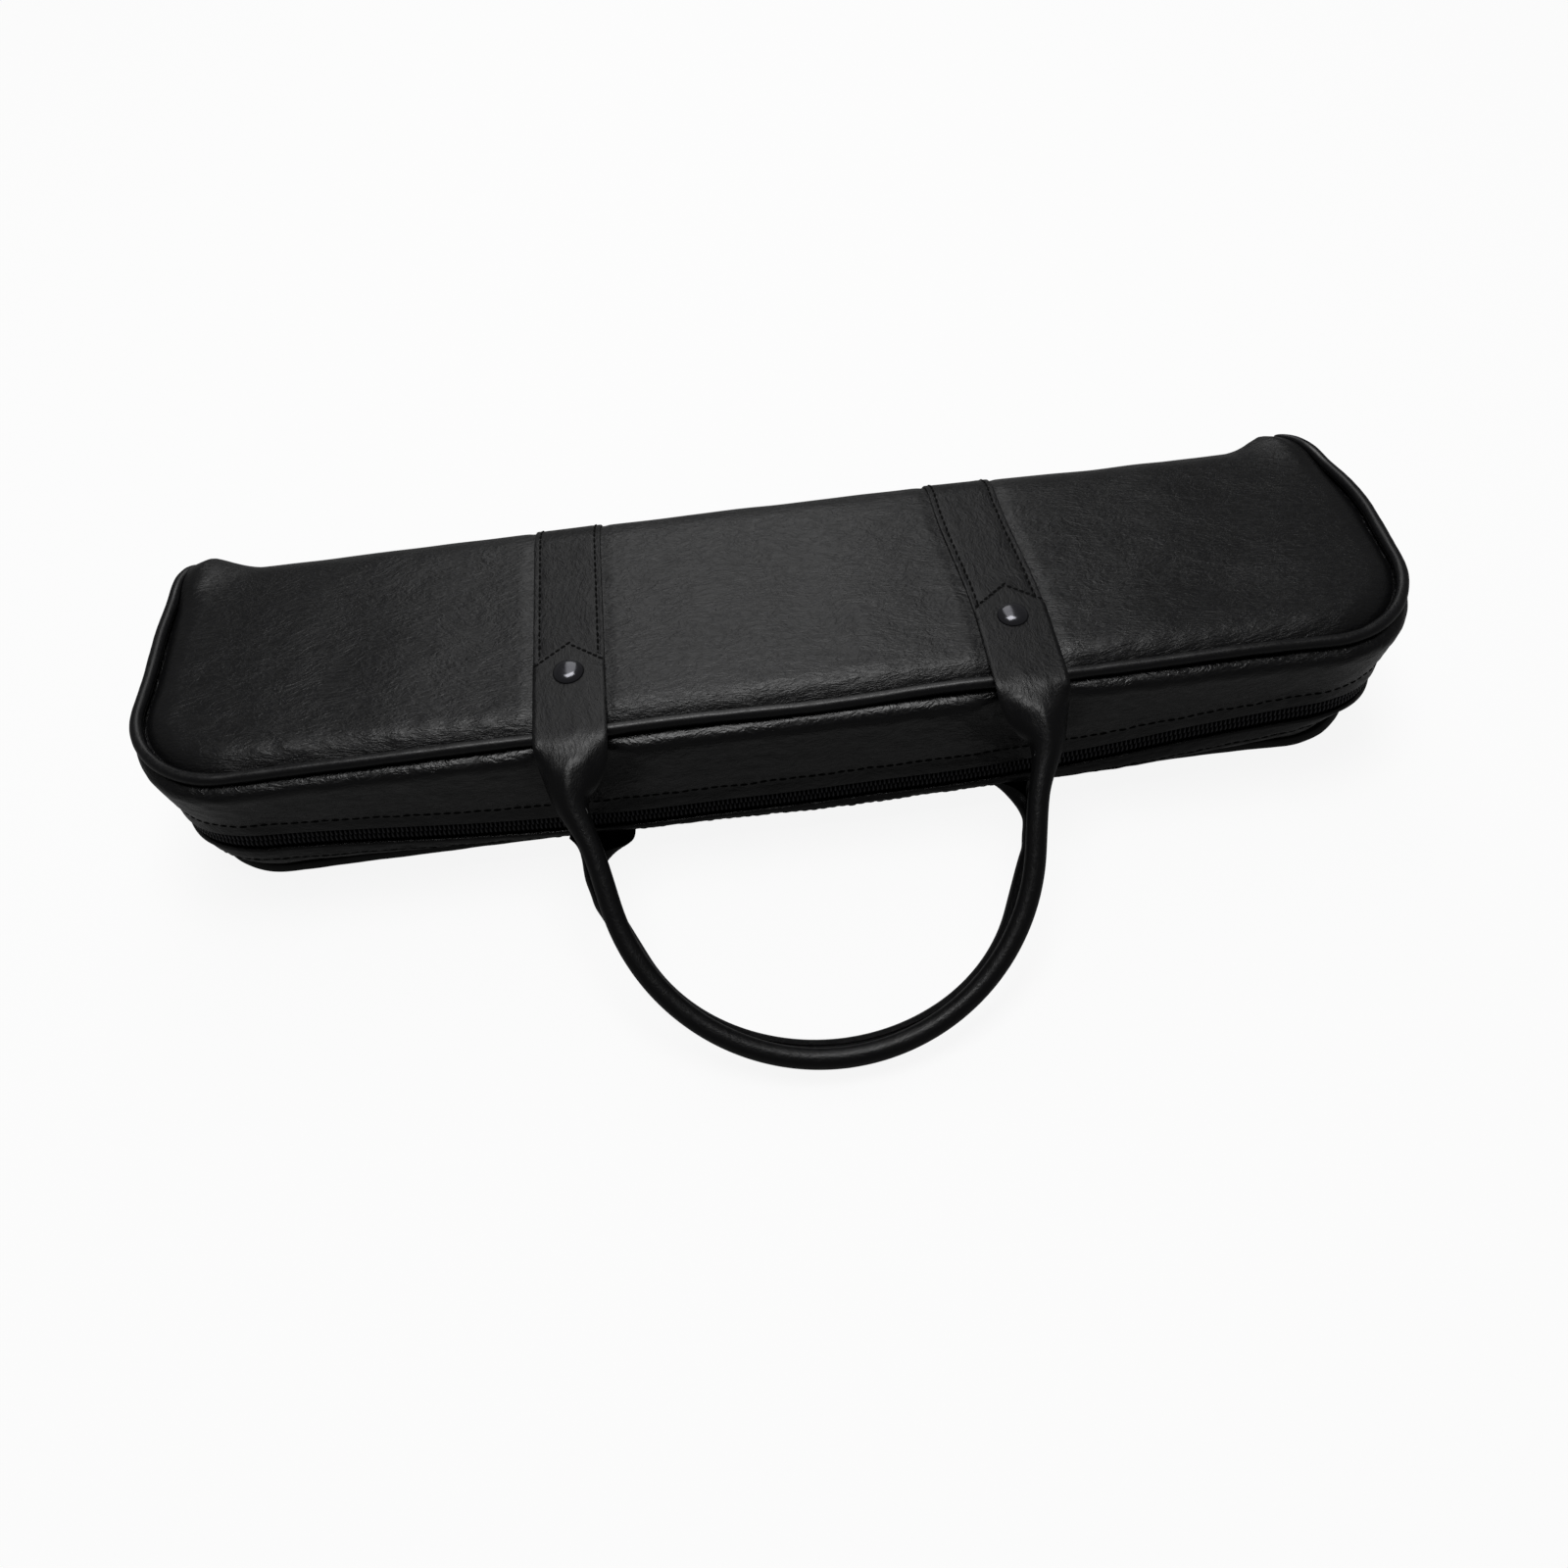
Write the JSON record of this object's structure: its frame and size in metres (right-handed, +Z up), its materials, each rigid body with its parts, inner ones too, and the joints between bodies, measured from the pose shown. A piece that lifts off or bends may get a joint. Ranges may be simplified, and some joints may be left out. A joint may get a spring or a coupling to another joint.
{
  "type": "flute case",
  "caption": "Soft zip-around flute case in black leatherette with piped edges, stitched straps, two rolled carrying handles and a plush fitted tray",
  "frame": {"origin": "middle of the flat bottom panel, on the plane that the case rests on", "axes": "+X along the case to the right as seen from the zipped front, +Y towards the folded back, +Z up"},
  "size_m": [0.4174, 0.2021, 0.0651],
  "materials": {
    "leatherette": "black grained leatherette, dull sheen",
    "strap_leatherette": "black leatherette strap, edges stitched",
    "piping": "black leatherette over cord",
    "zip_tape": "woven polyester",
    "zip_coil": "nylon coil",
    "foam": "foam sheet",
    "shell_board": "moulded inner shell",
    "plush": "short plush pile",
    "black_metal": "black lacquer",
    "rope": "twisted cotton cord"
  },
  "bodies": {
    "base": {"lower_cover_panel": "leatherette", "lower_pad": "foam", "lower_side_pad": "foam", "lower_piping": "piping", "lower_gusset": "leatherette", "lower_zip_tape": "zip_tape", "lower_zip_coil": "zip_coil", "lower_zip_stops": "black_metal", "base_shell": "shell_board", "fitted_tray": "plush", "spine_fold": "leatherette", "strap_folds": "strap_leatherette", "lower_strap_left": "strap_leatherette", "lower_strap_right": "strap_leatherette", "lower_rivets": "black_metal"},
    "lid": {"upper_cover_panel": "leatherette", "upper_pad": "foam", "upper_side_pad": "foam", "upper_piping": "piping", "upper_gusset": "leatherette", "upper_zip_tape": "zip_tape", "upper_zip_coil": "zip_coil", "upper_zip_stops": "black_metal", "lid_shell": "shell_board", "lid_lining": "plush", "upper_strap_left": "strap_leatherette", "upper_strap_right": "strap_leatherette", "upper_rivet_caps": "black_metal", "upper_rivet_studs": "black_metal"},
    "upper_handle": {"upper_handle_cover": "strap_leatherette", "upper_handle_core": "rope"},
    "lower_handle": {"lower_handle_cover": "strap_leatherette", "lower_handle_core": "rope"},
    "slider": {"zip_slider": "black_metal"},
    "pull": {"slider_pull": "black_metal"}
  },
  "joints": [
    {"name": "lid_hinge", "type": "hinge", "parent": "base", "child": "lid", "pos_m": [0, 0.054, 0.022], "axis": [-1, 0, 0], "range_deg": [0, 138]},
    {"name": "upper_handle_swing", "type": "hinge", "parent": "lid", "child": "upper_handle", "pos_m": [0.005, -0.0558, 0.0632], "axis": [-1, 0, 0], "range_deg": [0, 180]},
    {"name": "lower_handle_swing", "type": "hinge", "parent": "base", "child": "lower_handle", "pos_m": [0.005, -0.061, 0.0016], "axis": [-1, 0, 0], "range_deg": [0, 75]},
    {"name": "slider_travel", "type": "slide", "parent": "base", "child": "slider", "axis": [0, -1, 0], "range_m": [0, 0.052]},
    {"name": "pull_swing", "type": "hinge", "parent": "slider", "child": "pull", "pos_m": [0.2085, 0.04, 0.022], "axis": [0, 0, 1], "range_deg": [0, 170]}
  ],
  "couplings": [
    {"joint": "lower_handle_swing", "follows": "upper_handle_swing", "ratio": 0.4166}
  ]
}
